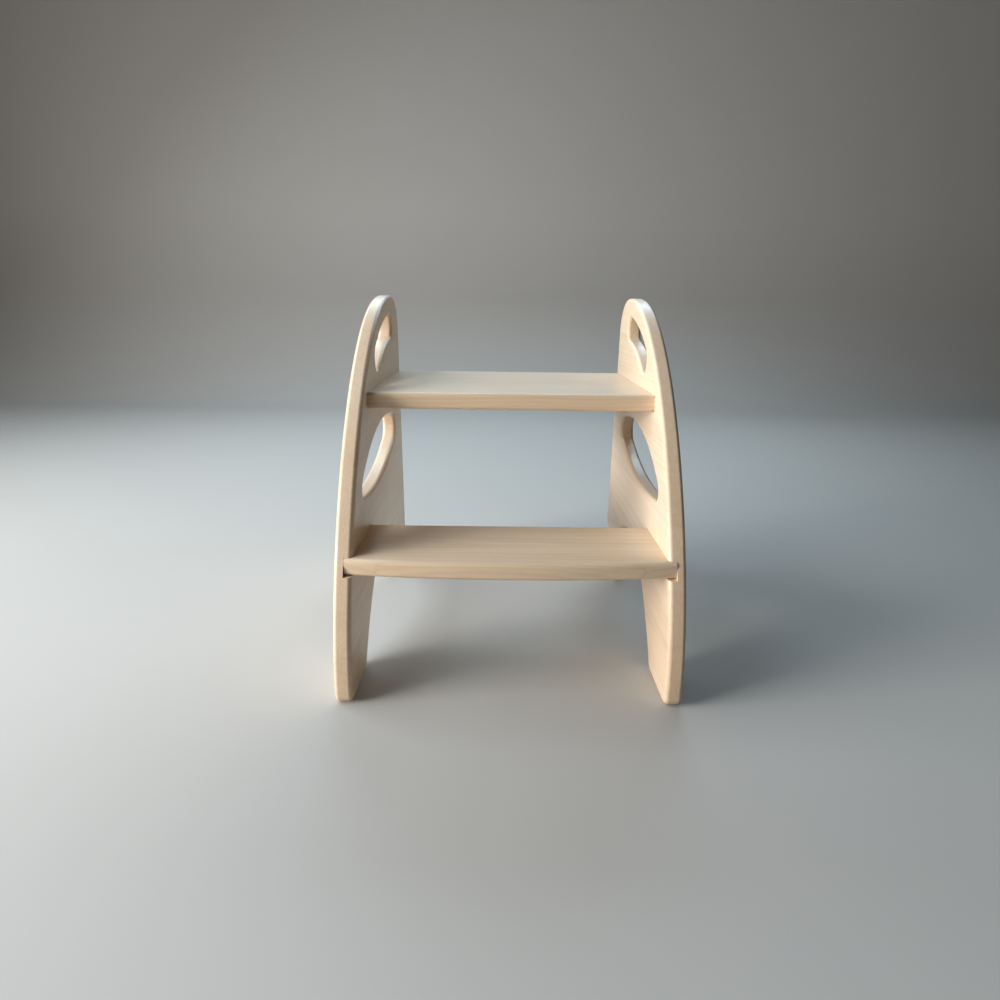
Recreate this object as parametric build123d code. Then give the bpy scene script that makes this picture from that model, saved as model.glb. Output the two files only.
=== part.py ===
from build123d import *
import math
import os

# Two-step stool: two upright side panels, two treads let into grooves in them, and the
# screws and wooden plugs that hold and hide the joints.
# Frame: +Z up, +Y to the back, +X to the right as seen from the front. The origin is on the
# floor, at the middle of the footprint. Millimetres.

# ---- overall ----
WIDTH = 350.0            # over the outer faces of the panels
DEPTH = 377.0            # front of the leg to the back edge
HEIGHT = 395.0           # floor to the crown of the panels
BOARD = 18.0             # thickness of every board
EDGE_ROUND = 4.5         # router radius along every edge

FRONT = -DEPTH / 2
BACK = DEPTH / 2
OUTER_X = WIDTH / 2
INNER_X = OUTER_X - BOARD

# ---- side panel outline, seen from the side ----
LEG_STRAIGHT = 12.0      # height where the leg's front edge starts to lean back
LEG_HANDLE = 120.0       # how stiffly the curve leaves the leg
CROWN_HANDLE = 194.0     # how stiffly it reaches the crown
BACK_CORNER = 45.0       # radius of the upper back corner
FOOT_CORNER = 9.0        # radius of each corner on the floor

# ---- arch between the feet ----
ARCH_MIDDLE_Y = BACK - 161.15
CROWN_RADIUS = 107.0     # its centre is on the floor line
FLANK_RADIUS = 300.0     # flatter curve down to the front foot
FLANK_ANGLE = 124.31     # direction from the crown's centre where the flank begins
SHOULDER_RADIUS = 82.0   # tighter curve down to the back foot
SHOULDER_ANGLE = 62.0    # direction from the crown's centre where the shoulder begins

# ---- leaf-shaped opening between the treads ----
LEAF_TIP = (BACK - 267.0, 195.0)
LEAF_TIP_RADIUS = 10.0
LEAF_BUTT = (BACK - 73.5, 225.0)
LEAF_BUTT_RADIUS = 17.0
LEAF_TOP_RADIUS = 260.0
LEAF_BELLY_RADIUS = 400.0

# ---- hand slot along the crown ----
SLOT_CENTRE = (BACK - 37.0, 123.5)
SLOT_PATH_RADIUS = 235.0
SLOT_START = 98.1        # direction of the back end of the slot's middle line, degrees
SLOT_SWEEP = 23.5
SLOT_WIDTH = 29.0

# ---- treads ----
LOWER_TOP = 145.0
LOWER_FRONT = BACK - 346.0
LOWER_BACK = BACK - 243.0
LOWER_BOW = 9.0          # how far the middle of the front edge stands ahead of its ends
UPPER_TOP = 293.0
UPPER_FRONT = BACK - 232.0
UPPER_BACK = BACK

# ---- grooves and fixings ----
GROOVE_DEPTH = 8.6
TONGUE = 8.1             # how far a tread's end goes into the groove
TONGUE_EASE = 0.1        # taken off a tongue's top and bottom, so that it slides into the groove
SHOULDER_GAP = 0.2       # hairline between a tread's shoulder and the panel's inner face
PLUG_RADIUS = 5.0
PLUG_LENGTH = 3.0
HEAD_RIM = 0.5           # cylindrical rim of the countersunk head
SCREW_LENGTH = 50.0
SHANK_RADIUS = 1.9
THREAD_RADIUS = 2.5
NECK_LENGTH = 14.0       # smooth length under the head
THREAD_PITCH = 2.5
THREAD_TURNS = 12
DRIVE_WIDTH = 3.0        # square socket in the head
DRIVE_DEPTH = 1.6
LOWER_SCREWS_Y = (BACK - 320.0, BACK - 268.0)
UPPER_SCREWS_Y = (BACK - 200.0, BACK - 116.0, BACK - 32.0)

SIDES = {"left": -1, "right": 1}      # left and right as seen from the front


def on_circle(centre, radius, angle):
    """Point on a circle at an angle in degrees."""
    a = math.radians(angle)
    return (centre[0] + radius * math.cos(a), centre[1] + radius * math.sin(a))


def bearing(start, end):
    """Direction from one point to another, in degrees."""
    return math.degrees(math.atan2(end[1] - start[1], end[0] - start[0]))


def outer_profile():
    """Panel's outside: upright leg, one long curve to the crown, upright back edge."""
    crown = (BACK - BACK_CORNER, HEIGHT)
    leg_top = (FRONT, LEG_STRAIGHT)
    sweep = Bezier(
        leg_top,
        (FRONT, LEG_STRAIGHT + LEG_HANDLE),
        (crown[0] - CROWN_HANDLE, HEIGHT),
        crown,
    )
    corner_centre = (BACK - BACK_CORNER, HEIGHT - BACK_CORNER)
    corner = CenterArc(corner_centre, BACK_CORNER, 0, 90)
    back_edge = Line((BACK, HEIGHT - BACK_CORNER), (BACK, 0))
    floor_edge = Line((BACK, 0), (FRONT, 0))
    leg_edge = Line((FRONT, 0), leg_top)
    return make_face([sweep, corner, back_edge, floor_edge, leg_edge])


def arch_profile():
    """Opening between the feet: flank, crown and shoulder are tangent arcs."""
    middle = (ARCH_MIDDLE_Y, 0)
    flank_centre = on_circle(middle, CROWN_RADIUS - FLANK_RADIUS, FLANK_ANGLE)
    shoulder_centre = on_circle(middle, CROWN_RADIUS - SHOULDER_RADIUS, SHOULDER_ANGLE)
    floor_angle = 180 + math.degrees(math.asin(flank_centre[1] / FLANK_RADIUS))
    flank = CenterArc(flank_centre, FLANK_RADIUS, FLANK_ANGLE, floor_angle - FLANK_ANGLE)
    crown = CenterArc(middle, CROWN_RADIUS, SHOULDER_ANGLE, FLANK_ANGLE - SHOULDER_ANGLE)
    shoulder = CenterArc(shoulder_centre, SHOULDER_RADIUS, 0, SHOULDER_ANGLE)
    back_foot_y = shoulder_centre[0] + SHOULDER_RADIUS
    front_foot_y = on_circle(flank_centre, FLANK_RADIUS, floor_angle)[0]
    inner_edge = Line((back_foot_y, shoulder_centre[1]), (back_foot_y, 0))
    floor_line = Line((back_foot_y, 0), (front_foot_y, 0))
    return make_face([flank, crown, shoulder, inner_edge, floor_line])


def bulge_centre(first, second, radius, side):
    """Centre of an arc that both end circles touch from inside. Side is 1 for the arc above."""
    reach_1 = radius - LEAF_TIP_RADIUS
    reach_2 = radius - LEAF_BUTT_RADIUS
    span = math.dist(first, second)
    along = (reach_1 ** 2 - reach_2 ** 2 + span ** 2) / (2 * span)
    across = math.sqrt(reach_1 ** 2 - along ** 2)
    ux, uy = (second[0] - first[0]) / span, (second[1] - first[1]) / span
    return (first[0] + ux * along + side * uy * across, first[1] + uy * along - side * ux * across)


def leaf_profile():
    """Leaf-shaped opening: a small round tip, a larger round butt and two long arcs."""
    above = bulge_centre(LEAF_TIP, LEAF_BUTT, LEAF_TOP_RADIUS, 1)
    below = bulge_centre(LEAF_TIP, LEAF_BUTT, LEAF_BELLY_RADIUS, -1)
    top_tip, top_butt = bearing(above, LEAF_TIP), bearing(above, LEAF_BUTT)
    low_tip, low_butt = bearing(below, LEAF_TIP), bearing(below, LEAF_BUTT)
    top = CenterArc(above, LEAF_TOP_RADIUS, top_butt, top_tip - top_butt)
    belly = CenterArc(below, LEAF_BELLY_RADIUS, low_tip, low_butt - low_tip)
    tip = CenterArc(LEAF_TIP, LEAF_TIP_RADIUS, top_tip, low_tip + 360 - top_tip)
    butt = CenterArc(LEAF_BUTT, LEAF_BUTT_RADIUS, low_butt, top_butt - low_butt)
    return make_face([top, tip, belly, butt])


def slot_profile():
    """Hand slot: a band of even width along an arc that follows the crown."""
    return SlotArc(CenterArc(SLOT_CENTRE, SLOT_PATH_RADIUS, SLOT_START, SLOT_SWEEP), SLOT_WIDTH)


def panel_profile():
    """Side panel's face with its feet, arch, leaf and hand slot."""
    board = outer_profile() - arch_profile()
    board = fillet(board.vertices().filter_by_position(Axis.Y, -0.1, 0.1), FOOT_CORNER)
    return board - leaf_profile() - slot_profile()


def block(low, high):
    """Box between two corners."""
    size = [b - a for a, b in zip(low, high)]
    middle = [(a + b) / 2 for a, b in zip(low, high)]
    return Pos(*middle) * Box(*size)


def screw_places(tread):
    """Height of a tread's screws, and their places from front to back."""
    if tread == "lower":
        return LOWER_TOP - BOARD / 2, LOWER_SCREWS_Y
    return UPPER_TOP - BOARD / 2, UPPER_SCREWS_Y


def facing_in(side, y, z):
    """Place on a panel's outer face, with its own Z pointing into the stool."""
    return Location(Plane(origin=(side * OUTER_X, y, z), x_dir=(0, 1, 0), z_dir=(-side, 0, 0)))


def screw_body():
    """Countersunk wood screw along +Z, turned from one profile, with rings for the thread."""
    head_top = PLUG_LENGTH
    head_foot = head_top + HEAD_RIM + (PLUG_RADIUS - SHANK_RADIUS)
    thread_start = head_top + NECK_LENGTH
    outline = [
        (0, head_top),
        (PLUG_RADIUS, head_top),
        (PLUG_RADIUS, head_top + HEAD_RIM),
        (SHANK_RADIUS, head_foot),
        (SHANK_RADIUS, thread_start),
    ]
    for turn in range(THREAD_TURNS):
        start = thread_start + turn * THREAD_PITCH
        outline.append((THREAD_RADIUS, start + THREAD_PITCH * 0.4))
        outline.append((SHANK_RADIUS, start + THREAD_PITCH * 0.8))
        outline.append((SHANK_RADIUS, start + THREAD_PITCH))
    outline.append((0, head_top + SCREW_LENGTH))
    return revolve(Plane.XZ * make_face(Polyline(*outline, close=True)), Axis.Z)


def screw():
    """The screw with the square socket in its head."""
    socket = Pos(0, 0, PLUG_LENGTH + DRIVE_DEPTH / 2) * Box(DRIVE_WIDTH, DRIVE_WIDTH, DRIVE_DEPTH)
    return screw_body() - socket


def screw_hole():
    """What a screw and its plug take out of the boards."""
    return plug() + screw_body()


def plug():
    """Wooden plug, flush with the panel's outer face."""
    return Pos(0, 0, PLUG_LENGTH / 2) * Cylinder(PLUG_RADIUS, PLUG_LENGTH)


def group(shape, side, tread):
    """The same fixing at each screw place of one joint."""
    height, places = screw_places(tread)
    return Compound(children=[facing_in(side, y, height) * shape for y in places])


def drill(board, side, treads):
    """Board with its screw holes cut."""
    for tread in treads:
        height, places = screw_places(tread)
        for y in places:
            board -= facing_in(side, y, height) * screw_hole()
    return board


def side_panel(side):
    """Panel with rounded edges, both grooves and the screw holes."""
    inner, outer = side * INNER_X, side * OUTER_X
    board = extrude(Plane.YZ.offset(inner) * panel_profile(), amount=side * BOARD)
    rims = board.faces().filter_by(Axis.X).edges()
    board = fillet(rims, EDGE_ROUND)
    groove_floor = side * (INNER_X + GROOVE_DEPTH)
    low_x, high_x = min(inner, groove_floor), max(inner, groove_floor)
    board -= block((low_x, FRONT, LOWER_TOP - BOARD), (high_x, LOWER_BACK, LOWER_TOP))
    board -= block((low_x, UPPER_FRONT, UPPER_TOP - BOARD), (high_x, UPPER_BACK, UPPER_TOP))
    return drill(board, side, ("lower", "upper"))


def tread(name, top, front, back, bow):
    """Tread with square-cut ends and rounded long edges. A bow above zero arches its front."""
    end = INNER_X + TONGUE
    if bow > 0:
        front_edge = ThreePointArc((-end, front), (0, front - bow), (end, front))
    else:
        front_edge = Line((-end, front), (end, front))
    right = Line((end, front), (end, back))
    rear = Line((end, back), (-end, back))
    left = Line((-end, back), (-end, front))
    plan = make_face([front_edge, right, rear, left])
    board = extrude(Plane.XY.offset(top - BOARD) * plan, amount=BOARD)
    rims = board.faces().filter_by(Axis.Z).edges()
    long_edges = [edge for edge in rims if edge.length > 2 * end - 1]
    board = fillet(long_edges, EDGE_ROUND)
    shoulder = INNER_X - SHOULDER_GAP
    for side in SIDES.values():
        low_x, high_x = sorted((side * shoulder, side * (end + 1)))
        for face in (top, top - BOARD):
            low = (low_x, front - bow - 1, face - TONGUE_EASE)
            high = (high_x, back + 1, face + TONGUE_EASE)
            board -= block(low, high)
        board = drill(board, side, (name,))
    return board


def build():
    """Every piece of the stool, by node name."""
    nodes = {
        "lower_tread": tread("lower", LOWER_TOP, LOWER_FRONT, LOWER_BACK, LOWER_BOW),
        "upper_tread": tread("upper", UPPER_TOP, UPPER_FRONT, UPPER_BACK, 0),
    }
    for word, side in SIDES.items():
        nodes[f"{word}_side_panel"] = side_panel(side)
        for name in ("lower", "upper"):
            nodes[f"screws_{name}_{word}"] = group(screw(), side, name)
            nodes[f"plugs_{name}_{word}"] = group(plug(), side, name)
    return nodes


os.makedirs("parts", exist_ok=True)
for node, shape in build().items():
    export_step(shape, f"parts/{node}.step")
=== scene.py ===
"""Two-step wooden stool: two tall rounded side panels, a bowed lower tread and a deeper upper
tread, with the screws that hold them and the plugs that hide the screws.

Metres. +Z is up, +Y is to the back and +X to the right as seen from the front.
"""

import math

import bpy
import numpy as np
from bpy.props import FloatProperty, FloatVectorProperty, IntProperty, PointerProperty
from mathutils import Matrix, Vector
from mathutils.geometry import delaunay_2d_cdt


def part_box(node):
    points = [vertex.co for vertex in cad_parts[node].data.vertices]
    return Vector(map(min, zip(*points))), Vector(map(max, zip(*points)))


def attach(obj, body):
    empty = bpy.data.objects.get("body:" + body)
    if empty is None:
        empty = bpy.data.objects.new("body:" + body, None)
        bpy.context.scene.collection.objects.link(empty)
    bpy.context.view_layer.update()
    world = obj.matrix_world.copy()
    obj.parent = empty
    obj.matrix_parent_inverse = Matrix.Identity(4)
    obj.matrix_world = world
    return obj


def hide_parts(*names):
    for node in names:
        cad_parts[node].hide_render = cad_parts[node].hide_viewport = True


bl_info = {
    "name": "Two-step stool",
    "version": (1, 0, 0),
    "blender": (4, 5, 0),
    "location": "3D View > Sidebar > Stool",
    "description": "Makes the boards, fixings and finish of a wooden two-step stool",
    "category": "Add Mesh",
}

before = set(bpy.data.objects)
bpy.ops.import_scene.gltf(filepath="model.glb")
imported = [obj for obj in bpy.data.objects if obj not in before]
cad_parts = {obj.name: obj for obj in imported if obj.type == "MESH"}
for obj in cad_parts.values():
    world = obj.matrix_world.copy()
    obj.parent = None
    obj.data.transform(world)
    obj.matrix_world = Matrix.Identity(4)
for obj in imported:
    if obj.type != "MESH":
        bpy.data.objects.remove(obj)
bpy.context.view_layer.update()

PANEL_LOW, PANEL_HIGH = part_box("right_side_panel")
TREAD_BOX = {"lower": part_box("lower_tread"), "upper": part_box("upper_tread")}
PLUG_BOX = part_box("plugs_lower_right")
SCREW_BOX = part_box("screws_lower_right")
SIDES = {"left": -1, "right": 1}
BOARD = PANEL_HIGH.x - PANEL_LOW.x
FRONT, BACK = PANEL_LOW.y, PANEL_HIGH.y
INNER_X, OUTER_X = PANEL_LOW.x, PANEL_HIGH.x
TOP = PANEL_HIGH.z


# ---- settings ----

class StoolBoards(bpy.types.PropertyGroup):
    """Shape of the boards. Distances called 'from the back' run forwards from the back edge."""

    edge_round: FloatProperty(
        name="Edge rounding", description="Router radius along every edge",
        default=0.0045, min=0.001, max=0.008, unit="LENGTH")
    leg_straight: FloatProperty(
        name="Upright leg", description="Height where the leg's front edge starts to lean back",
        default=0.012, min=0.010, unit="LENGTH")
    leg_pull: FloatProperty(
        name="Leg pull", description="How stiffly the long curve leaves the leg",
        default=0.120, unit="LENGTH")
    crown_pull: FloatProperty(
        name="Crown pull", description="How stiffly the long curve reaches the crown",
        default=0.194, unit="LENGTH")
    back_corner: FloatProperty(
        name="Back corner", description="Radius of the panel's upper back corner",
        default=0.045, unit="LENGTH")
    foot_corner: FloatProperty(
        name="Foot corner", description="Radius of each corner on the floor",
        default=0.009, unit="LENGTH")
    arch_middle: FloatProperty(
        name="Arch middle", description="Middle of the foot arch, from the back",
        default=0.16115, unit="LENGTH")
    arch_crown: FloatProperty(
        name="Arch crown radius", description="Its centre is on the floor",
        default=0.107, unit="LENGTH")
    arch_flank: FloatProperty(
        name="Arch flank radius", description="Flatter curve down to the front foot",
        default=0.300, unit="LENGTH")
    arch_flank_angle: FloatProperty(
        name="Flank start", description="Direction from the crown's centre where the flank begins",
        default=math.radians(124.31), subtype="ANGLE")
    arch_shoulder: FloatProperty(
        name="Arch shoulder radius", description="Tighter curve down to the back foot",
        default=0.082, unit="LENGTH")
    arch_shoulder_angle: FloatProperty(
        name="Shoulder start", description="Direction from the crown's centre where it begins",
        default=math.radians(62), subtype="ANGLE")
    leaf_tip: FloatVectorProperty(
        name="Leaf tip", description="Centre of the tip: from the back, and height",
        default=(0.267, 0.195), size=2, unit="LENGTH")
    leaf_tip_radius: FloatProperty(
        name="Leaf tip radius", description="Radius of the leaf's small front end",
        default=0.010, unit="LENGTH")
    leaf_butt: FloatVectorProperty(
        name="Leaf butt", description="Centre of the butt: from the back, and height",
        default=(0.0735, 0.225), size=2, unit="LENGTH")
    leaf_butt_radius: FloatProperty(
        name="Leaf butt radius", description="Radius of the leaf's large back end",
        default=0.017, unit="LENGTH")
    leaf_top: FloatProperty(
        name="Leaf top radius", description="Radius of the long arc above",
        default=0.260, unit="LENGTH")
    leaf_belly: FloatProperty(
        name="Leaf belly radius", description="Radius of the long arc below",
        default=0.400, unit="LENGTH")
    slot_centre: FloatVectorProperty(
        name="Slot centre", description="Centre of the hand slot's arc: from the back, and height",
        default=(0.037, 0.1235), size=2, unit="LENGTH")
    slot_radius: FloatProperty(
        name="Slot radius", description="Radius of the hand slot's middle line",
        default=0.235, unit="LENGTH")
    slot_start: FloatProperty(
        name="Slot start", description="Direction of the slot's back end from its centre",
        default=math.radians(98.1), subtype="ANGLE")
    slot_sweep: FloatProperty(
        name="Slot sweep", description="Angle that the slot's middle line turns through",
        default=math.radians(23.5), subtype="ANGLE")
    slot_width: FloatProperty(
        name="Slot width", description="Width of the hand slot",
        default=0.029, unit="LENGTH")
    tread_bow: FloatProperty(
        name="Lower tread bow", description="How far its front edge stands ahead of its ends",
        default=0.009, unit="LENGTH")
    groove_depth: FloatProperty(
        name="Groove depth", description="Depth of the grooves that hold the treads",
        default=0.0086, unit="LENGTH")
    tongue_ease: FloatProperty(
        name="Tongue ease", description="Taken off a tongue's top and bottom",
        default=0.0001, unit="LENGTH")
    shoulder_gap: FloatProperty(
        name="Shoulder gap", description="Hairline between a tread's shoulder and the panel",
        default=0.0002, unit="LENGTH")
    edge_steps: IntProperty(
        name="Edge steps", description="Facets across each quarter-round",
        default=8, min=3, max=16)


class StoolFixings(bpy.types.PropertyGroup):
    """Screws and plugs. Places along a joint are measured forwards from the back edge."""

    lower_places: FloatVectorProperty(
        name="Lower screws", description="Places of the lower tread's screws, from the back",
        default=(0.320, 0.268), size=2, unit="LENGTH")
    upper_places: FloatVectorProperty(
        name="Upper screws", description="Places of the upper tread's screws, from the back",
        default=(0.200, 0.116, 0.032), size=3, unit="LENGTH")
    plug_radius: FloatProperty(
        name="Plug radius", description="Radius of a wooden plug",
        default=(PLUG_BOX[1].z - PLUG_BOX[0].z) / 2, unit="LENGTH")
    plug_length: FloatProperty(
        name="Plug length", description="How far a plug goes into the panel",
        default=PLUG_BOX[1].x - PLUG_BOX[0].x, unit="LENGTH")
    screw_length: FloatProperty(
        name="Screw length", description="Length of a screw, head included",
        default=SCREW_BOX[1].x - SCREW_BOX[0].x, unit="LENGTH")
    shank_radius: FloatProperty(
        name="Shank radius", description="Radius of the smooth neck and of the thread's root",
        default=0.0019, unit="LENGTH")
    thread_radius: FloatProperty(
        name="Thread radius", description="Radius over the thread",
        default=0.0025, unit="LENGTH")
    thread_pitch: FloatProperty(
        name="Thread pitch", description="Distance from one turn to the next",
        default=0.0025, unit="LENGTH")
    neck_length: FloatProperty(
        name="Neck length", description="From the top of the head to the first turn",
        default=0.014, unit="LENGTH")


class StoolFinish(bpy.types.PropertyGroup):
    """Colours and sheen of the wood."""

    light_wood: FloatVectorProperty(
        name="Light wood", description="Colour of the pale early wood",
        default=(0.800, 0.645, 0.480), size=3, subtype="COLOR", min=0, max=1)
    dark_wood: FloatVectorProperty(
        name="Dark wood", description="Colour of the rings and fibres",
        default=(0.620, 0.435, 0.275), size=3, subtype="COLOR", min=0, max=1)
    end_wood: FloatVectorProperty(
        name="End grain", description="Colour where the lacquer soaks into the end grain",
        default=(0.600, 0.430, 0.290), size=3, subtype="COLOR", min=0, max=1)
    sheen_roughness: FloatProperty(
        name="Lacquer roughness", description="Roughness of the satin lacquer",
        default=0.38, min=0.05, max=1.0, subtype="FACTOR")
    stave_width: FloatProperty(
        name="Stave width", description="Width of the strips glued edge to edge into a board",
        default=0.058, unit="LENGTH")


class StoolStage(bpy.types.PropertyGroup):
    """Floor, light and camera."""

    camera_place: FloatVectorProperty(
        name="Camera place", description="Where the camera stands",
        default=(-0.01354, -0.71828, 0.38740), size=3, subtype="TRANSLATION", unit="LENGTH")
    camera_pitch: FloatProperty(
        name="Camera pitch", description="How far the camera looks down",
        default=0.30918, subtype="ANGLE")
    camera_turn: FloatProperty(
        name="Camera turn", description="How far the camera looks to the left",
        default=-0.00417, subtype="ANGLE")
    camera_roll: FloatProperty(
        name="Camera roll", description="How far the camera leans",
        default=0.012885, subtype="ANGLE")
    lens: FloatProperty(
        name="Lens", description="Focal length on a 36 mm wide frame, in millimetres",
        default=22.209, min=10, max=200)
    window_power: FloatProperty(
        name="Window power", description="Power of the broad light high on the left, in watts",
        default=25.0, min=0)
    front_power: FloatProperty(
        name="Front power", description="Power of the weak warm light in front, in watts",
        default=4.0, min=0)
    left_power: FloatProperty(
        name="Left power", description="Power of the low light on the left, in watts",
        default=57.0, min=0)
    back_power: FloatProperty(
        name="Back power", description="Power of the weak light high behind the stool, in watts",
        default=20.0, min=0)
    room_light: FloatProperty(
        name="Room light", description="Strength of the even light from all round",
        default=0.03, min=0)
    floor_colour: FloatVectorProperty(
        name="Floor colour", description="Colour of the plain floor",
        default=(0.50, 0.485, 0.46), size=3, subtype="COLOR", min=0, max=1)


# ---- outlines: rows of point and unit tangent ----

def arc(centre, radius, start, end, step=0.0015):
    """Points at even angles on a circle, centre + radius (cos, sin), with the tangent of travel."""
    count = max(int(abs(end - start) * radius / step), 8) + 1
    angle = np.linspace(start, end, count)
    ray = np.stack((np.cos(angle), np.sin(angle)), axis=1)
    tangent = np.stack((-ray[:, 1], ray[:, 0]), axis=1) * math.copysign(1, end - start)
    return np.hstack((np.asarray(centre) + radius * ray, tangent))


def line(start, end, step=0.006):
    """Evenly spaced points on a straight run, with its direction as tangent."""
    start, end = np.asarray(start, float), np.asarray(end, float)
    length = np.linalg.norm(end - start)
    share = np.linspace(0, 1, max(int(length / step), 1) + 1)[:, None]
    tangent = np.broadcast_to((end - start) / length, (len(share), 2))
    return np.hstack((start + share * (end - start), tangent))


def bezier(a, b, c, d, count=300):
    """Cubic curve: the four points weighted by (1-t)^3, 3t(1-t)^2, 3t^2(1-t) and t^3."""
    a, b, c, d = (np.asarray(p, float) for p in (a, b, c, d))
    t = np.linspace(0, 1, count)[:, None]
    s = 1 - t
    point = a * s**3 + 3 * b * t * s**2 + 3 * c * t**2 * s + d * t**3
    slope = (b - a) * s**2 + 2 * (c - b) * t * s + (d - c) * t**2
    return np.hstack((point, slope / np.linalg.norm(slope, axis=1, keepdims=True)))


def closed(*runs):
    """One closed loop from runs that each end where the next begins."""
    return np.vstack([run[:-1] for run in runs])


def on_circle(centre, radius, angle):
    """Point at an angle on a circle."""
    return np.array((centre[0] + radius * math.cos(angle), centre[1] + radius * math.sin(angle)))


def bearing(start, end):
    """Direction from one point to another."""
    return math.atan2(end[1] - start[1], end[0] - start[0])


def panel_outline(b):
    """Outside of a side panel, counter-clockwise with Y to the right: front foot, tangent arcs
    of the arch, back foot, straight back, round corner, and the long curve down to the leg."""
    quarter, r = math.pi / 2, b.foot_corner
    middle = np.array((BACK - b.arch_middle, 0))
    flank = on_circle(middle, b.arch_crown - b.arch_flank, b.arch_flank_angle)
    shoulder = on_circle(middle, b.arch_crown - b.arch_shoulder, b.arch_shoulder_angle)
    reach = math.sqrt((b.arch_flank + r) ** 2 - (r - flank[1]) ** 2)
    toe = np.array((flank[0] - reach, r))
    toe_angle = bearing(toe, flank)
    heel = np.array((shoulder[0] + b.arch_shoulder + r, r))
    crown = (BACK - b.back_corner, TOP)
    back, front = (BACK - r, r), (FRONT + r, r)
    leg_top = (FRONT, b.leg_straight)
    return closed(
        line((FRONT + r, 0), (toe[0], 0)),
        arc(toe, r, -quarter, toe_angle, 0.0008),
        arc(flank, b.arch_flank, toe_angle + math.pi, b.arch_flank_angle),
        arc(middle, b.arch_crown, b.arch_flank_angle, b.arch_shoulder_angle),
        arc(shoulder, b.arch_shoulder, b.arch_shoulder_angle, 0),
        line((shoulder[0] + b.arch_shoulder, shoulder[1]), (heel[0] - r, r)),
        arc(heel, r, math.pi, 3 * quarter, 0.0008),
        line((heel[0], 0), (BACK - r, 0)),
        arc(back, r, -quarter, 0, 0.0008),
        line((BACK, r), (BACK, TOP - b.back_corner)),
        arc((crown[0], TOP - b.back_corner), b.back_corner, 0, quarter),
        bezier(crown, (crown[0] - b.crown_pull, TOP),
               (FRONT, b.leg_straight + b.leg_pull), leg_top),
        line(leg_top, (FRONT, r)),
        arc(front, r, math.pi, 3 * quarter, 0.0008),
    )


def bulge(first, second, radius, first_radius, second_radius, side):
    """Centre of the arc that holds two end circles and touches both from inside. Its distances
    to their centres are its radius less theirs. Side 1 gives the arc above, -1 the one below."""
    one, two = radius - first_radius, radius - second_radius
    span = math.dist(first, second)
    along = (one**2 - two**2 + span**2) / (2 * span)
    across = math.sqrt(one**2 - along**2)
    u = (second - first) / span
    return first + along * u + side * across * np.array((u[1], -u[0]))


def leaf_outline(b):
    """Leaf opening, clockwise: long arc above, round butt, long arc below, round tip."""
    tip = np.array((BACK - b.leaf_tip[0], b.leaf_tip[1]))
    butt = np.array((BACK - b.leaf_butt[0], b.leaf_butt[1]))
    ends = (b.leaf_tip_radius, b.leaf_butt_radius)
    above = bulge(tip, butt, b.leaf_top, *ends, 1)
    below = bulge(tip, butt, b.leaf_belly, *ends, -1)
    top_tip, top_butt = bearing(above, tip), bearing(above, butt)
    low_tip, low_butt = bearing(below, tip), bearing(below, butt)
    return closed(
        arc(above, b.leaf_top, top_tip, top_butt),
        arc(butt, b.leaf_butt_radius, top_butt, low_butt, 0.001),
        arc(below, b.leaf_belly, low_butt, low_tip),
        arc(tip, b.leaf_tip_radius, low_tip, top_tip - 2 * math.pi, 0.0008),
    )


def slot_outline(b):
    """Hand slot, clockwise: an arc outside, a half circle, an arc inside, a half circle."""
    centre = np.array((BACK - b.slot_centre[0], b.slot_centre[1]))
    start, end, half = b.slot_start, b.slot_start + b.slot_sweep, b.slot_width / 2
    return closed(
        arc(centre, b.slot_radius + half, end, start),
        arc(on_circle(centre, b.slot_radius, start), half, start, start - math.pi, 0.001),
        arc(centre, b.slot_radius - half, start, end),
        arc(on_circle(centre, b.slot_radius, end), half, end + math.pi, end, 0.001),
    )


# ---- meshes ----

def even_odd(points, loops):
    """True where a point is inside: it counts, over every loop's segments, how often a ray in +u
    is crossed, and keeps the odd counts."""
    inside = np.zeros(len(points), bool)
    x, y = points[:, 0, None], points[:, 1, None]
    for loop in loops:
        a, b = loop[None, :, :], np.roll(loop, -1, axis=0)[None, :, :]
        spans = (a[..., 1] > y) != (b[..., 1] > y)
        rise = np.where(spans, b[..., 1] - a[..., 1], 1.0)
        cross = a[..., 0] + (y - a[..., 1]) / rise * (b[..., 0] - a[..., 0])
        inside ^= (np.sum(spans & (x < cross), axis=1) % 2).astype(bool)
    return inside


def flat_fill(loops):
    """Triangles over the area inside the first loop and outside the others, as indices into the
    stacked loops, counter-clockwise."""
    points = np.vstack(loops)
    starts = np.cumsum([0] + [len(loop) for loop in loops])
    edges = np.vstack([
        np.stack((np.arange(s, e), np.roll(np.arange(s, e), -1)), axis=1)
        for s, e in zip(starts[:-1], starts[1:])])
    made = delaunay_2d_cdt([Vector(p) for p in points.tolist()], edges.tolist(), [], 0, 1e-9)
    triangles = np.array([f for f in made[2] if len(f) == 3])
    source = np.array([ids[0] for ids in made[3]])
    triangles = source[triangles]
    corners = points[triangles]
    triangles = triangles[even_odd(corners.mean(axis=1), loops)]
    corners = points[triangles]
    first, second = corners[:, 1] - corners[:, 0], corners[:, 2] - corners[:, 0]
    area = first[:, 0] * second[:, 1] - first[:, 1] * second[:, 0]
    triangles[area < 0] = triangles[area < 0][:, ::-1]
    return triangles


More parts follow.
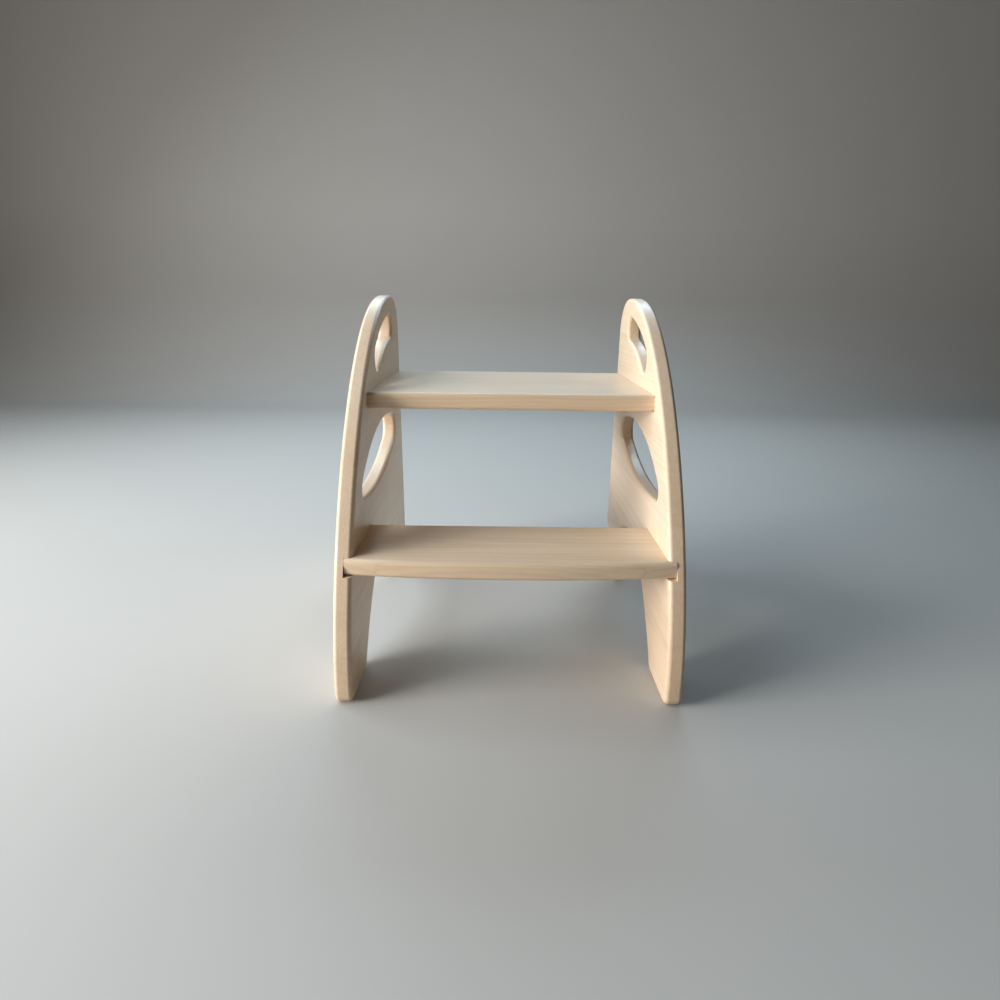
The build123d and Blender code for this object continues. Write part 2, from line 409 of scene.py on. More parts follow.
def board_shell(loops, thickness, radius, steps):
    """Closed shell of a board. Along each loop a section is carried: inset r(1 - sin a) and depth
    r(1 - cos a) round the first edge, the same in reverse round the second, straight between.
    The two flats are filled from the first and last rows' own points."""
    a = np.linspace(0, math.pi / 2, steps + 1)
    inset, depth = radius * (1 - np.sin(a)), radius * (1 - np.cos(a))
    inset = np.concatenate((inset, inset[::-1]))[:, None, None]
    depth = np.concatenate((depth, thickness - depth[::-1]))
    points, faces, first, last, base = [], [], [], [], 0
    for loop in loops:
        normal = np.stack((loop[:, 3], -loop[:, 2]), axis=1)
        grid = loop[None, :, :2] - inset * normal[None]
        rows, count = grid.shape[:2]
        height = np.broadcast_to(depth[:, None, None], (rows, count, 1))
        points.append(np.concatenate((grid, height), axis=2).reshape(-1, 3))
        index = base + np.arange(rows * count).reshape(rows, count)
        ahead = np.roll(index, -1, axis=1)
        quads = np.stack((index[:-1], ahead[:-1], ahead[1:], index[1:]), axis=-1)
        faces += quads.reshape(-1, 4).tolist()
        first.append(index[0])
        last.append(index[-1])
        base += rows * count
    flat = flat_fill([np.vstack(points)[ids, :2] for ids in first])
    faces += np.concatenate(first)[flat][:, ::-1].tolist()
    faces += np.concatenate(last)[flat].tolist()
    return np.vstack(points), faces


def tread_shell(low, high, bow, radius, steps, stations=121):
    """Closed shell of a tread: its section carried from end to end. The section is a rectangle
    with quarter-rounds on the long edges. Its front moves back from the middle by R - sqrt(R^2 -
    x^2), the arc through both ends and the middle. The ends are closed by the section itself."""
    x = np.linspace(-high.x, high.x, stations)[:, None]
    front = np.full_like(x, low.y)
    if bow > 0:
        reach = (high.x**2 + bow**2) / (2 * bow)
        front += reach - np.sqrt(reach**2 - x**2)
    a = np.linspace(0, math.pi / 2, steps + 1)
    out, up = radius * (1 - np.sin(a)), radius * (1 - np.cos(a))
    inset = np.concatenate((out, out[::-1]))[None]
    rise = np.concatenate((low.z + up, high.z - up[::-1]))[None]
    rear = np.broadcast_to((high.y - inset)[:, ::-1], (stations, inset.size))
    y = np.hstack((front + inset, rear))
    z = np.broadcast_to(np.hstack((rise, rise[:, ::-1])), y.shape)
    grid = np.stack((np.broadcast_to(x, y.shape), y, z), axis=-1)
    index = np.arange(y.size).reshape(y.shape)
    ahead = np.roll(index, -1, axis=1)
    quads = np.stack((index[:-1], index[1:], ahead[1:], ahead[:-1]), axis=-1).reshape(-1, 4)
    return grid.reshape(-1, 3), quads.tolist() + [index[0].tolist(), index[-1][::-1].tolist()]


def turned_shell(radius, along, side, y, z, start):
    """Closed shell turned about a line into the stool. Radius and along are given over rows and
    angles; the two ends close to a point on the axis. Point: along the axis, plus radius times
    the cosine of the angle towards the back and its sine up or down."""
    rows, count = radius.shape
    angle = np.linspace(0, 2 * math.pi, count, endpoint=False)
    depth = np.concatenate((along, along[[0, -1], :1].repeat(count, axis=1)))
    reach = np.concatenate((radius, np.zeros((2, count))))
    x = side * (start - depth)
    grid = np.stack((x, y + reach * np.cos(angle), z - side * reach * np.sin(angle)), axis=-1)
    points = np.vstack((grid[:rows].reshape(-1, 3), grid[rows, :1], grid[rows + 1, :1]))
    index = np.arange(rows * count).reshape(rows, count)
    ahead = np.roll(index, -1, axis=1)
    quads = np.stack((index[:-1], ahead[:-1], ahead[1:], index[1:]), axis=-1).reshape(-1, 4)
    first, last = np.full(count, rows * count), np.full(count, rows * count + 1)
    near = np.stack((first, ahead[0], index[0]), axis=-1)
    far = np.stack((index[-1], ahead[-1], last), axis=-1)
    return points, quads.tolist() + near.tolist() + far.tolist()


def box_shell(low, high):
    """Closed box between two corners, from the eight sign combinations."""
    corner = np.array([[i >> 2 & 1, i >> 1 & 1, i & 1] for i in range(8)])
    low, high = np.minimum(low, high), np.maximum(low, high)
    faces = [[0, 1, 3, 2], [4, 6, 7, 5], [0, 4, 5, 1], [2, 3, 7, 6], [0, 2, 6, 4], [1, 5, 7, 3]]
    return low + corner * (high - low), faces


def joined(shells):
    """Several shells as one, with their point numbers moved on."""
    points, faces, base = [], [], 0
    for shell_points, shell_faces in shells:
        points.append(shell_points)
        faces += [[base + i for i in face] for face in shell_faces]
        base += len(shell_points)
    return np.vstack(points), faces


def new_mesh(name, shell):
    """Mesh object from points and faces, linked to the scene."""
    mesh = bpy.data.meshes.new(name)
    mesh.from_pydata(shell[0].tolist(), [], shell[1])
    mesh.validate()
    obj = bpy.data.objects.new(name, mesh)
    bpy.context.scene.collection.objects.link(obj)
    return obj


def cut(obj, *cutters):
    """Takes each cutter's shell out of the piece, and puts the result in its mesh for good."""
    helpers = []
    for shell in cutters:
        helper = new_mesh(obj.name + "_cutter", shell)
        modifier = obj.modifiers.new("cut", "BOOLEAN")
        modifier.operation = "DIFFERENCE"
        modifier.solver = "EXACT"
        modifier.object = helper
        helpers.append(helper)
    graph = bpy.context.evaluated_depsgraph_get()
    result = bpy.data.meshes.new_from_object(obj.evaluated_get(graph))
    obj.modifiers.clear()
    old, obj.data = obj.data, result
    bpy.data.meshes.remove(old)
    result.name = obj.name
    for helper in helpers:
        mesh = helper.data
        bpy.data.objects.remove(helper)
        bpy.data.meshes.remove(mesh)


def finish_piece(obj, material, slot, *nodes, sharp=32):
    """Smooth shading with crisp corners, its material, and its place in the frame."""
    obj.data.shade_smooth()
    obj.data.set_sharp_from_angle(angle=math.radians(sharp))
    weighted = obj.modifiers.new("weighted normals", "WEIGHTED_NORMAL")
    weighted.keep_sharp = True
    obj.data.materials.clear()
    obj.data.materials.append(material)
    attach(obj, "root")
    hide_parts(*nodes)


def screw_row(word):
    """Height of a tread's screws, and their places from front to back."""
    fixings = bpy.context.scene.stool_fixings
    low, high = TREAD_BOX[word]
    places = fixings.lower_places if word == "lower" else fixings.upper_places
    return (low.z + high.z) / 2, [BACK - place for place in places]


def turned_rows(profile, count):
    """Radius and depth over rows and angles, from rows of radius and depth."""
    profile = np.asarray(profile, float)
    return [np.broadcast_to(profile[:, i:i + 1], (len(profile), count)) for i in (0, 1)]


def bore(side, y, z):
    """What a plug and a screw take out of the boards: a counterbore, a cone and a pilot hole,
    all turned about one axis, from just outside the panel."""
    f = bpy.context.scene.stool_fixings
    cone = f.plug_length + 0.0005
    pilot = f.thread_radius + 0.0001
    radius, along = turned_rows((
        (f.plug_radius, -0.002),
        (f.plug_radius, cone),
        (pilot, cone + f.plug_radius - f.thread_radius),
        (pilot, f.plug_length + f.screw_length + 0.001),
    ), 40)
    return turned_shell(radius, along, side, y, z, OUTER_X)


# ---- materials ----

def put(tree, kind, inputs=None, **settings):
    """Adds a node, sets its options, and fills its inputs with values or links."""
    node = tree.nodes.new(kind)
    for key, value in settings.items():
        setattr(node, key, value)
    for key, value in (inputs or {}).items():
        if isinstance(value, bpy.types.NodeSocket):
            tree.links.new(value, node.inputs[key])
        else:
            node.inputs[key].default_value = value
    return node


def calc(tree, operation, a, b=0.0, c=0.0, clamp=False):
    """Math node's result."""
    return put(tree, "ShaderNodeMath", {0: a, 1: b, 2: c},
               operation=operation, use_clamp=clamp).outputs[0]


def ramp(tree, value, low, high, out_low=0.0, out_high=1.0, kind="SMOOTHSTEP"):
    """Value eased from one range to another."""
    return put(tree, "ShaderNodeMapRange",
               {"Value": value, "From Min": low, "From Max": high,
                "To Min": out_low, "To Max": out_high},
               interpolation_type=kind).outputs[0]


def noise(tree, vector, scale, detail=2.0, roughness=0.5, w=None):
    """Noise stretched by a scale for each axis, centred on a half."""
    scaled = put(tree, "ShaderNodeVectorMath", {0: vector, 1: scale}, operation="MULTIPLY")
    inputs = {"Vector": scaled.outputs[0], "Scale": 1.0, "Detail": detail,
              "Roughness": roughness}
    if w is not None:
        inputs["W"] = w
    return put(tree, "ShaderNodeTexNoise", inputs,
               noise_dimensions="3D" if w is None else "4D").outputs["Fac"]


def group_tree(name, inputs, outputs):
    """New shader group with named sockets, and its input and output nodes."""
    tree = bpy.data.node_groups.new(name, "ShaderNodeTree")
    kinds = {"value": "NodeSocketFloat", "vector": "NodeSocketVector", "colour": "NodeSocketColor"}
    for label, kind, default in inputs:
        socket = tree.interface.new_socket(label, in_out="INPUT", socket_type=kinds[kind])
        if default is not None:
            socket.default_value = default
    for label, kind in outputs:
        tree.interface.new_socket(label, in_out="OUTPUT", socket_type=kinds[kind])
    return tree, tree.nodes.new("NodeGroupInput"), tree.nodes.new("NodeGroupOutput")


def board_grain():
    """Group: close-grained pale hardwood in staves. Its vector has X along the grain, Y across
    the board and Z through it. Rings are even steps of the distance from each stave's own pith,
    bent by slow noise; fibres and flecks are noise drawn out along X."""
    name = "board grain"
    if name in bpy.data.node_groups:
        return bpy.data.node_groups[name]
    tree, given, result = group_tree(name, (
        ("Vector", "vector", None), ("Normal", "vector", None), ("Seed", "value", 0.0),
        ("Stave width", "value", 0.058), ("Light", "colour", (0.8, 0.65, 0.5, 1)),
        ("Dark", "colour", (0.62, 0.44, 0.29, 1)), ("End", "colour", (0.6, 0.43, 0.29, 1)),
    ), (("Colour", "colour"), ("Roughness", "value"), ("Height", "value")))
    vector, seed = given.outputs["Vector"], given.outputs["Seed"]
    split = put(tree, "ShaderNodeSeparateXYZ", {0: vector}).outputs

    # Each stave has its own random numbers.
    place = calc(tree, "DIVIDE", split[1], given.outputs["Stave width"])
    place = calc(tree, "ADD", place, calc(tree, "MULTIPLY", seed, 0.37))
    stave = calc(tree, "FLOOR", place)
    within = calc(tree, "FRACT", place)
    key = calc(tree, "ADD", stave, calc(tree, "MULTIPLY", seed, 17.3))
    random = put(tree, "ShaderNodeTexWhiteNoise", {"W": key}, noise_dimensions="1D")
    chance = put(tree, "ShaderNodeSeparateXYZ", {0: random.outputs["Color"]}).outputs
    glue = calc(tree, "SUBTRACT", 0.5, calc(tree, "ABSOLUTE", calc(tree, "SUBTRACT", within, 0.5)))
    glue = ramp(tree, glue, 0.0, 0.006, 1.0, 0.0)

    # Distance from the pith, which lies off the board.
    bend = calc(tree, "SUBTRACT", noise(tree, vector, (2.2, 7, 7), 2.0, 0.5, key), 0.5)
    ripple = calc(tree, "SUBTRACT", noise(tree, vector, (9, 60, 60), 1.0, 0.5, key), 0.5)
    wander = calc(tree, "MULTIPLY_ADD", bend, 0.034, calc(tree, "MULTIPLY", ripple, 0.0030))
    across = calc(tree, "MULTIPLY", calc(tree, "SUBTRACT", within, chance[0]),
                  given.outputs["Stave width"])
    across = calc(tree, "ADD", across, wander)
    deep = calc(tree, "ADD", split[2], calc(tree, "MULTIPLY_ADD", chance[1], 0.05, 0.020))
    deep = calc(tree, "ADD", deep, calc(tree, "MULTIPLY", bend, 0.020))
    reach = calc(tree, "SQRT", calc(tree, "ADD", calc(tree, "MULTIPLY", across, across),
                                    calc(tree, "MULTIPLY", deep, deep)))
    ring_spacing = 0.0034
    turn = calc(tree, "FRACT", calc(tree, "DIVIDE", reach, ring_spacing))
    late = calc(tree, "MULTIPLY", ramp(tree, turn, 0.35, 0.93), ramp(tree, turn, 0.93, 1.0, 1, 0))

    # Fibres, slow bands of tone, and short dark flecks.
    fibre = noise(tree, vector, (22, 1500, 1500), 2.0, 0.6, key)
    streak = noise(tree, vector, (5, 230, 230), 2.0, 0.55, key)
    band = noise(tree, vector, (2.0, 26, 26), 2.0, 0.5, key)
    fleck = ramp(tree, noise(tree, vector, (260, 2100, 2100), 1.0, 0.5, key), 0.66, 0.74)
    curl = noise(tree, vector, (70, 9, 9), 2.0, 0.5, key)

    end = put(tree, "ShaderNodeSeparateXYZ", {0: given.outputs["Normal"]}).outputs
    end = ramp(tree, calc(tree, "ABSOLUTE", end[0]), 0.35, 0.95)

    dark = calc(tree, "MULTIPLY", late, 0.20)
    dark = calc(tree, "MULTIPLY_ADD", ramp(tree, fibre, 0.32, 0.70), 0.16, dark)
    dark = calc(tree, "MULTIPLY_ADD", ramp(tree, streak, 0.35, 0.68), 0.20, dark)
    dark = calc(tree, "MULTIPLY_ADD", ramp(tree, band, 0.30, 0.70), 0.22, dark)
    dark = calc(tree, "MULTIPLY_ADD", fleck, 0.24, dark)
    dark = calc(tree, "MULTIPLY_ADD", glue, 0.18, dark)
    dark = calc(tree, "MULTIPLY_ADD", calc(tree, "SUBTRACT", chance[2], 0.5), 0.20, dark, True)
    soak = calc(tree, "MULTIPLY", end, calc(tree, "MULTIPLY_ADD", streak, 0.4, 0.16))
    wood = put(tree, "ShaderNodeMix", data_type="RGBA")
    ended = put(tree, "ShaderNodeMix", data_type="RGBA")
    link_mix(tree, wood, dark, given.outputs["Light"], given.outputs["Dark"])
    link_mix(tree, ended, soak, wood.outputs[2], given.outputs["End"])
    tree.links.new(ended.outputs[2], result.inputs["Colour"])

    rough = calc(tree, "MULTIPLY_ADD", calc(tree, "SUBTRACT", fibre, 0.5), 0.22, 0.0)
    rough = calc(tree, "MULTIPLY_ADD", calc(tree, "SUBTRACT", curl, 0.5), 0.10, rough)
    rough = calc(tree, "MULTIPLY_ADD", end, 0.14, rough)
    rough = calc(tree, "MULTIPLY_ADD", fleck, 0.10, rough)
    tree.links.new(rough, result.inputs["Roughness"])

    height = calc(tree, "MULTIPLY", fibre, -0.7)
    height = calc(tree, "MULTIPLY_ADD", late, 0.25, height)
    height = calc(tree, "MULTIPLY_ADD", fleck, -0.5, height)
    height = calc(tree, "MULTIPLY_ADD", glue, -0.5, height)
    height = calc(tree, "MULTIPLY_ADD", streak, 0.4, height)
    tree.links.new(height, result.inputs["Height"])
    return tree


def link_mix(tree, node, factor, a, b):
    """Links a colour Mix node's factor and two colours, which share their names with others."""
    for index, value in ((0, factor), (6, a), (7, b)):
        if isinstance(value, bpy.types.NodeSocket):
            tree.links.new(value, node.inputs[index])
        else:
            node.inputs[index].default_value = value


def handling():
    """Group: what hands and cloths leave on a finish. Smears are slow noise, wiped marks are
    noise drawn out one way, and dust gathers where the surface faces up."""
    name = "handling"
    if name in bpy.data.node_groups:
        return bpy.data.node_groups[name]
    tree, given, result = group_tree(name, (
        ("Vector", "vector", None), ("Normal", "vector", None), ("Amount", "value", 1.0),
    ), (("Smear", "value"), ("Dust", "value")))
    vector = given.outputs["Vector"]
    slow = ramp(tree, noise(tree, vector, (11, 11, 11), 3.0, 0.55), 0.40, 0.68)
    wiped = noise(tree, vector, (18, 120, 40), 2.0, 0.5)
    smear = calc(tree, "MULTIPLY", slow, wiped)
    tree.links.new(calc(tree, "MULTIPLY", smear, given.outputs["Amount"]), result.inputs["Smear"])
    up = put(tree, "ShaderNodeSeparateXYZ", {0: given.outputs["Normal"]}).outputs[2]
    specks = ramp(tree, noise(tree, vector, (900, 900, 900), 2.0, 0.6), 0.62, 0.74)
    film = noise(tree, vector, (30, 30, 30), 3.0, 0.6)
    dust = calc(tree, "MULTIPLY_ADD", specks, 0.5, calc(tree, "MULTIPLY", film, 0.12))
    dust = calc(tree, "MULTIPLY", dust, ramp(tree, up, 0.6, 1.0))
    tree.links.new(calc(tree, "MULTIPLY", dust, given.outputs["Amount"]), result.inputs["Dust"])
    return tree


def start_material(name):
    """New node material: itself, its tree, its shader and its coordinates."""
    material = bpy.data.materials.new(name)
    material.use_nodes = True
    tree = material.node_tree
    return material, tree, tree.nodes["Principled BSDF"], put(tree, "ShaderNodeTexCoord")


def handled(tree, where):
    """The handling group, placed on the piece's own coordinates."""
    hands = put(tree, "ShaderNodeGroup")
    hands.node_tree = handling()
    tree.links.new(where.outputs["Object"], hands.inputs["Vector"])
    tree.links.new(where.outputs["Normal"], hands.inputs["Normal"])
    return hands


def wood_material(name, turn, place, seed, darker=0.0):
    """Lacquered wood. Turn and place bring the piece's own grain onto the pattern's X axis."""
    if name in bpy.data.materials:
        return bpy.data.materials[name]
    finish = bpy.context.scene.stool_finish
    material, tree, shader, where = start_material(name)
    board = put(tree, "ShaderNodeMapping",
                {"Vector": where.outputs["Object"], "Location": place, "Rotation": turn})
    facing = put(tree, "ShaderNodeMapping",
                 {"Vector": where.outputs["Normal"], "Rotation": turn}, vector_type="NORMAL")
    grain = put(tree, "ShaderNodeGroup")
    grain.node_tree = board_grain()
    tree.links.new(board.outputs[0], grain.inputs["Vector"])
    tree.links.new(facing.outputs[0], grain.inputs["Normal"])
    grain.inputs["Seed"].default_value = seed
    grain.inputs["Stave width"].default_value = finish.stave_width
    for label, colour in (("Light", finish.light_wood), ("Dark", finish.dark_wood),
                          ("End", finish.end_wood)):
        shade = [channel * (1 - darker) for channel in colour]
        grain.inputs[label].default_value = (*shade, 1)
    hands = handled(tree, where)
    dusty = put(tree, "ShaderNodeMix", data_type="RGBA")
    link_mix(tree, dusty, calc(tree, "MULTIPLY", hands.outputs["Dust"], 0.25),
             grain.outputs["Colour"], (0.74, 0.71, 0.67, 1))
    tree.links.new(dusty.outputs[2], shader.inputs["Base Color"])
    rough = calc(tree, "ADD", grain.outputs["Roughness"], finish.sheen_roughness)
    rough = calc(tree, "MULTIPLY_ADD", hands.outputs["Smear"], -0.10, rough)
    rough = calc(tree, "MULTIPLY_ADD", hands.outputs["Dust"], 0.20, rough, True)
    tree.links.new(rough, shader.inputs["Roughness"])
    bump = put(tree, "ShaderNodeBump", {"Height": grain.outputs["Height"],
                                        "Strength": 0.35, "Distance": 0.00012})
    tree.links.new(bump.outputs[0], shader.inputs["Normal"])
    shader.inputs["Coat Weight"].default_value = 0.12
    shader.inputs["Coat Roughness"].default_value = 0.22
    shader.inputs["IOR"].default_value = 1.47
    return material


def steel_material():
    """Zinc-plated steel, with a faint blotchy plating and fine turning marks."""
    name = "zinc_plated_steel"
    if name in bpy.data.materials:
        return bpy.data.materials[name]
    material, tree, shader, where = start_material(name)
    hands = handled(tree, where)
    blotch = noise(tree, where.outputs["Object"], (420, 420, 420), 3.0, 0.6)
    marks = noise(tree, where.outputs["Object"], (9000, 300, 300), 2.0, 0.5)
    tint = put(tree, "ShaderNodeMix", data_type="RGBA")
    link_mix(tree, tint, ramp(tree, blotch, 0.35, 0.65),
             (0.66, 0.65, 0.62, 1), (0.56, 0.54, 0.48, 1))
    tree.links.new(tint.outputs[2], shader.inputs["Base Color"])
    rough = calc(tree, "MULTIPLY_ADD", blotch, 0.20, 0.20)
    rough = calc(tree, "MULTIPLY_ADD", hands.outputs["Smear"], 0.15, rough)
    tree.links.new(rough, shader.inputs["Roughness"])
    bump = put(tree, "ShaderNodeBump", {"Height": marks, "Strength": 0.3, "Distance": 0.00003})
    tree.links.new(bump.outputs[0], shader.inputs["Normal"])
    shader.inputs["Metallic"].default_value = 1.0
    return material


def panel_wood(word):
    """Panels: grain runs from front to back, staves stack upwards."""
    half = math.pi / 2
    place = (0.31, 0.0, -0.171) if word == "left" else (-0.27, 0.0, 0.180)
    return wood_material(f"{word}_panel_wood", (0.0, half, half), place,
                         3.0 if word == "left" else 8.0)


# ---- operators ----

class STOOL_OT_side_panels(bpy.types.Operator):
    """Make both side panels: rounded outline, arch, leaf, hand slot, grooves and bores."""

    bl_idname = "stool.side_panels"
    bl_label = "Side panels"

    def execute(self, context):
        b = context.scene.stool_boards
        loops = (panel_outline(b), leaf_outline(b), slot_outline(b))
        points, faces = board_shell(loops, BOARD, b.edge_round, b.edge_steps)
        for word, side in SIDES.items():
            start = INNER_X if side > 0 else -OUTER_X
            place = np.stack((start + points[:, 2], points[:, 0], points[:, 1]), axis=1)
            panel = new_mesh(f"{word}_panel_board", (place, faces))
            grooves, bores = [], []
            for tread, (low, high) in TREAD_BOX.items():
                front, rear = low.y, high.y + 0.01
                if tread == "lower":
                    front, rear = FRONT - 0.01, high.y
                grooves.append(box_shell(
                    (side * (INNER_X - 0.01), front, low.z),
                    (side * (INNER_X + b.groove_depth), rear, high.z)))
                height, places = screw_row(tread)
                bores += [bore(side, y, height) for y in places]
            cut(panel, joined(grooves), joined(bores))
            finish_piece(panel, panel_wood(word), "boards", f"{word}_side_panel")
        return {"FINISHED"}


class STOOL_OT_treads(bpy.types.Operator):
    """Make both treads: the lower one bowed at the front, each with eased tongues."""

    bl_idname = "stool.treads"
    bl_label = "Treads"

    def execute(self, context):
        b = context.scene.stool_boards
        for tread, (low, high) in TREAD_BOX.items():
            bow = b.tread_bow if tread == "lower" else 0
            shell = tread_shell(low, high, bow, b.edge_round, b.edge_steps)
            board = new_mesh(f"{tread}_tread_board", shell)
            away = []
            height, places = screw_row(tread)
            for side in SIDES.values():
                for level, out in ((low.z, -0.001), (high.z, 0.001)):
                    away.append(box_shell(
                        (side * (INNER_X - b.shoulder_gap), low.y - 0.01,
                         level - math.copysign(b.tongue_ease, out)),
                        (side * (high.x + 0.01), high.y + 0.01, level + out)))
                away += [bore(side, y, height) for y in places]
            cut(board, joined(away))
            wood = wood_material(f"{tread}_tread_wood", (0.0, 0.0, 0.0),
                                 (0.0, 0.0, -high.z), 21.0 if tread == "lower" else 34.0)
            finish_piece(board, wood, "boards", f"{tread}_tread")
        return {"FINISHED"}


class STOOL_OT_plugs(bpy.types.Operator):
    """Make the wooden plugs, turned with a hairline chamfer and sanded flush."""

    bl_idname = "stool.plugs"
    bl_label = "Plugs"

    def execute(self, context):
        f = context.scene.stool_fixings
        rim, ease = f.plug_radius - 0.00005, 0.00025
        radius, along = turned_rows((
            (rim * 0.5, 0), (rim - ease, 0), (rim - ease * 0.3, ease * 0.3), (rim, ease),
            (rim, f.plug_length - ease), (rim - ease, f.plug_length),
            (rim * 0.5, f.plug_length)), 48)
        for tread in TREAD_BOX:
            height, places = screw_row(tread)
            for word, side in SIDES.items():
                shells = [turned_shell(radius, along, side, y, height, OUTER_X) for y in places]
                plugs = new_mesh(f"{tread}_{word}_plugs", joined(shells))
                half = math.pi / 2
                wood = wood_material("plug_wood", (0.0, half, half), (0.13, 0.02, -0.174),
                                     55.0, 0.05)
                finish_piece(plugs, wood, "plug_wood", f"plugs_{tread}_{word}", sharp=50)
        return {"FINISHED"}


class STOOL_OT_screws(bpy.types.Operator):
    """Make the countersunk screws: a helical thread, a tapered tip and a square socket."""

    bl_idname = "stool.screws"
    bl_label = "Screws"

    def execute(self, context):
        f = context.scene.stool_fixings
        radius, along = screw_surface(f)
        for tread in TREAD_BOX:
            height, places = screw_row(tread)
            for word, side in SIDES.items():
                shells = [turned_shell(radius, along, side, y, height, OUTER_X - f.plug_length)
                          for y in places]
                screws = new_mesh(f"{tread}_{word}_screws", joined(shells))
                finish_piece(screws, steel_material(), "screw_steel",
                             f"screws_{tread}_{word}", sharp=40)
        return {"FINISHED"}


def screw_surface(f, count=40):
    """Radius and depth of a screw over rows and angles. The socket's rows have the radius of a
    square with rounded corners. Thread: root radius plus the crest's height times a narrow
    peak of (depth / pitch - angle / full turn), faded in at the neck and out over the tip."""
    angle = np.linspace(0, 2 * math.pi, count, endpoint=False)
    square = (np.abs(np.cos(angle)) ** 8 + np.abs(np.sin(angle)) ** 8) ** (-1 / 8)
    socket = 0.0015 * square
    head = f.plug_radius - 0.0001
    rim = 0.0005
    rows = [(socket * 0.55, 0.0019), (socket, 0.0016), (socket, 0.00012), (socket + 0.00012, 0.0)]
    rows += [(np.full(count, r), d) for r, d in (
        (head - 0.0003, 0.0), (head, 0.00012), (head, rim),
        (f.shank_radius + 0.0001, rim + head - f.shank_radius))]
    near = np.array([np.broadcast_to(r, count) for r, _ in rows])
    near_depth = np.array([np.full(count, d) for _, d in rows])
    depth = np.linspace(f.neck_length - 0.004, f.screw_length - 0.00005, 300)[:, None]
    phase = (depth / f.thread_pitch - angle / (2 * math.pi)) % 1.0
    peak = np.clip(1 - np.abs(phase - 0.5) / 0.22, 0, 1)
    fade_in = np.clip((depth - f.neck_length) / 0.0015, 0, 1)
    tip = f.screw_length - 0.0055
    taper = np.clip((f.screw_length - depth) / (f.screw_length - tip), 0.02, 1)
    core = f.shank_radius * taper
    crest = (f.thread_radius - 0.00005 - f.shank_radius) * peak * fade_in * taper**0.5
    radius = np.vstack((near, core + crest))
    along = np.vstack((near_depth, np.broadcast_to(depth, (len(depth), count))))
    return radius, along


class STOOL_OT_stage(bpy.types.Operator):
    """Set up the plain floor, the four soft lights and the camera."""

    bl_idname = "stool.stage"
    bl_label = "Floor, light and camera"

    def execute(self, context):
        s = context.scene.stool_stage
        floor = new_mesh("floor", sweep_surface())
        floor.data.shade_smooth()
        floor.data.materials.append(floor_material(s.floor_colour))

        world = bpy.data.worlds.new("room")
        world.use_nodes = True
        background = world.node_tree.nodes["Background"]
        background.inputs["Color"].default_value = (0.93, 0.96, 1.0, 1)
        background.inputs["Strength"].default_value = s.room_light
        context.scene.world = world

        middle, low = (0, 0, 0.2), (0, 0, 0.15)
        for name, place, target, size, power, colour in (
                ("window", (-1.15, 0.0, 1.50), middle, (1.6, 0.7), s.window_power, (0.82, 0.92, 1)),
                ("left", (-2.0, -0.78, 0.50), low, (0.9, 0.5), s.left_power, (1, 0.96, 0.91)),
                ("front", (-1.0, -2.4, 0.80), low, (1.6, 0.8), s.front_power, (1, 0.84, 0.68)),
                ("back", (0.0, 1.5, 1.40), middle, (2.0, 0.4), s.back_power, (0.66, 0.86, 1))):
            soft_light(name, place, target, size, power, colour)

        data = bpy.data.cameras.new("camera")
        data.sensor_width, data.lens = 36.0, s.lens
        data.clip_start, data.clip_end = 0.01, 50
        camera = bpy.data.objects.new("camera", data)
        context.scene.collection.objects.link(camera)
        camera.matrix_world = camera_place(s)
        context.scene.camera = camera
        context.scene.view_settings.view_transform = "Standard"
        return {"FINISHED"}


def camera_place(s):
    """Camera's matrix from its place, turn, pitch and roll: right, up and back directions."""
    cos_t, sin_t = math.cos(s.camera_turn), math.sin(s.camera_turn)
    cos_p, sin_p = math.cos(s.camera_pitch), math.sin(s.camera_pitch)
    cos_r, sin_r = math.cos(s.camera_roll), math.sin(s.camera_roll)
    right = Vector((cos_t, sin_t, 0))
    ahead = Vector((-sin_t * cos_p, cos_t * cos_p, -sin_p))
    up = Vector((-sin_t * sin_p, cos_t * sin_p, cos_p))
    across = cos_r * right + sin_r * up
    over = cos_r * up - sin_r * right
    turn = Matrix((across, over, -ahead)).transposed().to_4x4()
    return Matrix.Translation(Vector(s.camera_place)) @ turn


def soft_light(name, place, target, size, power, colour):
    """Rectangular area light that points at a target, its width kept level."""
    data = bpy.data.lights.new(name, "AREA")
    data.shape = "RECTANGLE"
    data.size, data.size_y = size
    data.energy, data.color = power, colour
    light = bpy.data.objects.new(name, data)
    place, target = Vector(place), Vector(target)
    light.matrix_world = Matrix.Translation(place) @ (
        (target - place).to_track_quat("-Z", "Y").to_matrix().to_4x4())
    bpy.context.scene.collection.objects.link(light)


def sweep_surface():
    """Floor that turns up into a backdrop: over width and run. The run goes flat, then round a
    quarter circle of 0.8 m, then straight up."""
    bend, flat, wall, near = 0.8, 1.6, 3.0, -3.5
    turn = np.linspace(0, math.pi / 2, 33)
    run = np.concatenate((np.linspace(near, flat, 40)[:-1], flat + bend * np.sin(turn),
                          np.full(6, flat + bend)))
    rise = np.concatenate((np.zeros(39), bend * (1 - np.cos(turn)),
                           np.linspace(bend, wall, 7)[1:]))
    across = np.linspace(-4, 4, 33)
    x = np.broadcast_to(across[:, None], (33, len(run)))
    grid = np.stack((x, np.broadcast_to(run, x.shape), np.broadcast_to(rise, x.shape) - 0.0002),
                    axis=-1)
    index = np.arange(grid.shape[0] * grid.shape[1]).reshape(grid.shape[:2])
    quads = np.stack((index[:-1, :-1], index[1:, :-1], index[1:, 1:], index[:-1, 1:]), axis=-1)
    return grid.reshape(-1, 3), quads.reshape(-1, 4).tolist()


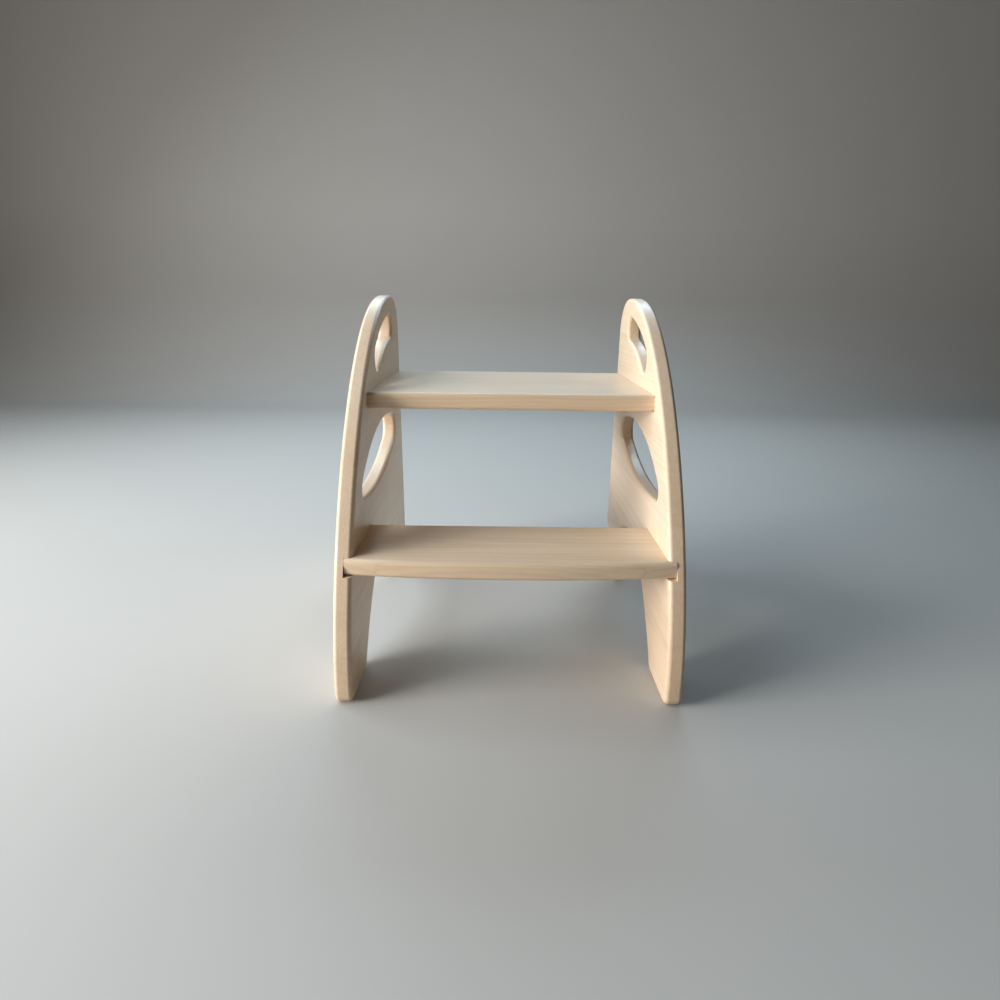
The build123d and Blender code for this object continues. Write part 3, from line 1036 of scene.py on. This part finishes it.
def floor_material(colour):
    """Plain matt floor with the faintest mottling."""
    material, tree, shader, where = start_material("plain_floor")
    mottle = noise(tree, where.outputs["Object"], (3, 3, 3), 3.0, 0.6)
    tint = put(tree, "ShaderNodeMix", data_type="RGBA")
    link_mix(tree, tint, mottle, (*colour, 1), tuple(c * 0.96 for c in colour) + (1,))
    tree.links.new(tint.outputs[2], shader.inputs["Base Color"])
    shader.inputs["Roughness"].default_value = 0.6
    return material


class STOOL_PT_maker(bpy.types.Panel):
    """Buttons and settings of the stool."""

    bl_label = "Two-step stool"
    bl_idname = "STOOL_PT_maker"
    bl_space_type = "VIEW_3D"
    bl_region_type = "UI"
    bl_category = "Stool"

    def draw(self, context):
        for operator in OPERATORS:
            self.layout.operator(operator.bl_idname)
        for label, attribute, group in GROUPS:
            box = self.layout.box()
            box.label(text=label)
            for key in group.__annotations__:
                box.prop(getattr(context.scene, attribute), key)


OPERATORS = (STOOL_OT_stage, STOOL_OT_side_panels, STOOL_OT_treads, STOOL_OT_screws,
             STOOL_OT_plugs)
GROUPS = (("Boards", "stool_boards", StoolBoards), ("Fixings", "stool_fixings", StoolFixings),
          ("Finish", "stool_finish", StoolFinish), ("Stage", "stool_stage", StoolStage))


def register():
    """Register the classes and hang the settings on the scene."""
    for _, attribute, group in GROUPS:
        bpy.utils.register_class(group)
        setattr(bpy.types.Scene, attribute, PointerProperty(type=group))
    for operator in OPERATORS:
        bpy.utils.register_class(operator)
    bpy.utils.register_class(STOOL_PT_maker)


def unregister():
    """Undo what register did, in reverse."""
    bpy.utils.unregister_class(STOOL_PT_maker)
    for operator in reversed(OPERATORS):
        bpy.utils.unregister_class(operator)
    for _, attribute, group in reversed(GROUPS):
        delattr(bpy.types.Scene, attribute)
        bpy.utils.unregister_class(group)


def main():
    register()
    bpy.ops.stool.stage()
    bpy.ops.stool.side_panels()
    bpy.ops.stool.treads()
    bpy.ops.stool.screws()
    bpy.ops.stool.plugs()


if __name__ == "__main__":
    main()
